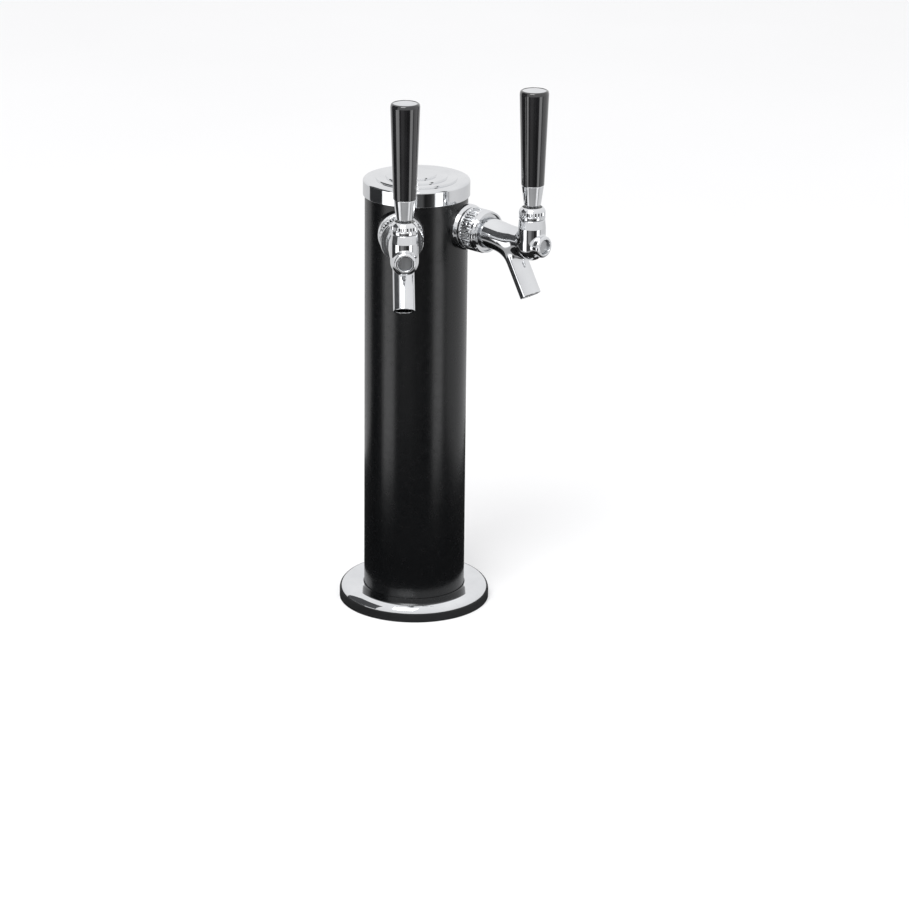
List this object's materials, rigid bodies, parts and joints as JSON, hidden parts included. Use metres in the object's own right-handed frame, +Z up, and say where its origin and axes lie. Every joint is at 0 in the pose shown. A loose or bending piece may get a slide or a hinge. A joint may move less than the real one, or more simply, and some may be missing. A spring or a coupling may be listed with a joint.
{
  "type": "beer tap tower",
  "caption": "Column beer tap tower with a domed base flange, stepped cap and a pair of splayed faucets with tapered pull handles.",
  "frame": {"origin": "centre of the base's underside, on the column's axis, where the tower stands on the worktop", "axes": "+Z up along the column, -Y to the front between the two faucets, +X to the right faucet's side"},
  "size_m": [0.1238, 0.1623, 0.4108],
  "materials": {
    "chrome": "polished chrome plate",
    "black_paint": "satin black powder coat",
    "black_plastic": "gloss black moulded handle",
    "stainless": "brushed stainless steel",
    "zinc_steel": "zinc plated steel",
    "brass": "machined brass",
    "black_rubber": "matt black rubber",
    "white_nylon": "natural nylon",
    "grey_foam": "closed-cell insulation foam"
  },
  "bodies": {
    "tower": {"base_gasket": "black_rubber", "mounting_flange": "zinc_steel", "column": "black_paint", "column_screws": "stainless", "insulation_sleeve": "grey_foam", "left_wall_ring": "chrome", "right_wall_ring": "chrome", "left_shank": "brass", "right_shank": "brass", "left_inner_saddle": "zinc_steel", "right_inner_saddle": "zinc_steel", "left_lock_nut": "brass", "right_lock_nut": "brass", "left_elbow": "brass", "right_elbow": "brass", "left_riser_tube": "stainless", "right_riser_tube": "stainless", "left_riser_tail": "stainless", "right_riser_tail": "stainless", "left_coupling_nut": "chrome", "right_coupling_nut": "chrome", "left_coupling_gasket": "black_rubber", "right_coupling_gasket": "black_rubber", "left_faucet_body": "chrome", "right_faucet_body": "chrome", "left_ball_washer": "white_nylon", "right_ball_washer": "white_nylon", "left_friction_washer": "white_nylon", "right_friction_washer": "white_nylon", "left_bonnet": "chrome", "right_bonnet": "chrome"},
    "flange_cover": {"flange_cover": "chrome"},
    "cap": {"cap": "chrome", "cap_seal": "black_rubber"},
    "left_handle": {"left_lever": "stainless", "left_ferrule": "chrome", "left_handle_insert": "brass", "left_grip": "black_plastic", "left_grip_disc": "chrome"},
    "left_valve": {"left_shaft": "stainless", "left_seat_washer": "black_rubber", "left_shaft_nut": "stainless"},
    "right_handle": {"right_lever": "stainless", "right_ferrule": "chrome", "right_handle_insert": "brass", "right_grip": "black_plastic", "right_grip_disc": "chrome"},
    "right_valve": {"right_shaft": "stainless", "right_seat_washer": "black_rubber", "right_shaft_nut": "stainless"}
  },
  "joints": [
    {"name": "flange_cover_lift", "type": "slide", "parent": "tower", "child": "flange_cover", "axis": [0, 0, 1], "range_m": [0, 0.2]},
    {"name": "cap_lift", "type": "slide", "parent": "tower", "child": "cap", "axis": [0, 0, 1], "range_m": [0, 0.03]},
    {"name": "left_handle_tilt", "type": "hinge", "parent": "tower", "child": "left_handle", "pos_m": [-0.05009, -0.0909, 0.3173], "axis": [0.9285, -0.3714, 0], "range_deg": [0, 24]},
    {"name": "left_valve_slide", "type": "slide", "parent": "tower", "child": "left_valve", "axis": [-0.3714, -0.9285, 0], "range_m": [-0.0086, 0]},
    {"name": "right_handle_tilt", "type": "hinge", "parent": "tower", "child": "right_handle", "pos_m": [0.05009, -0.0909, 0.3173], "axis": [0.9285, 0.3714, 0], "range_deg": [0, 24]},
    {"name": "right_valve_slide", "type": "slide", "parent": "tower", "child": "right_valve", "axis": [0.3714, -0.9285, 0], "range_m": [-0.0086, 0]}
  ],
  "couplings": [
    {"joint": "left_valve_slide", "follows": "left_handle_tilt", "m_per_rad": -0.02},
    {"joint": "right_valve_slide", "follows": "right_handle_tilt", "m_per_rad": -0.02}
  ]
}
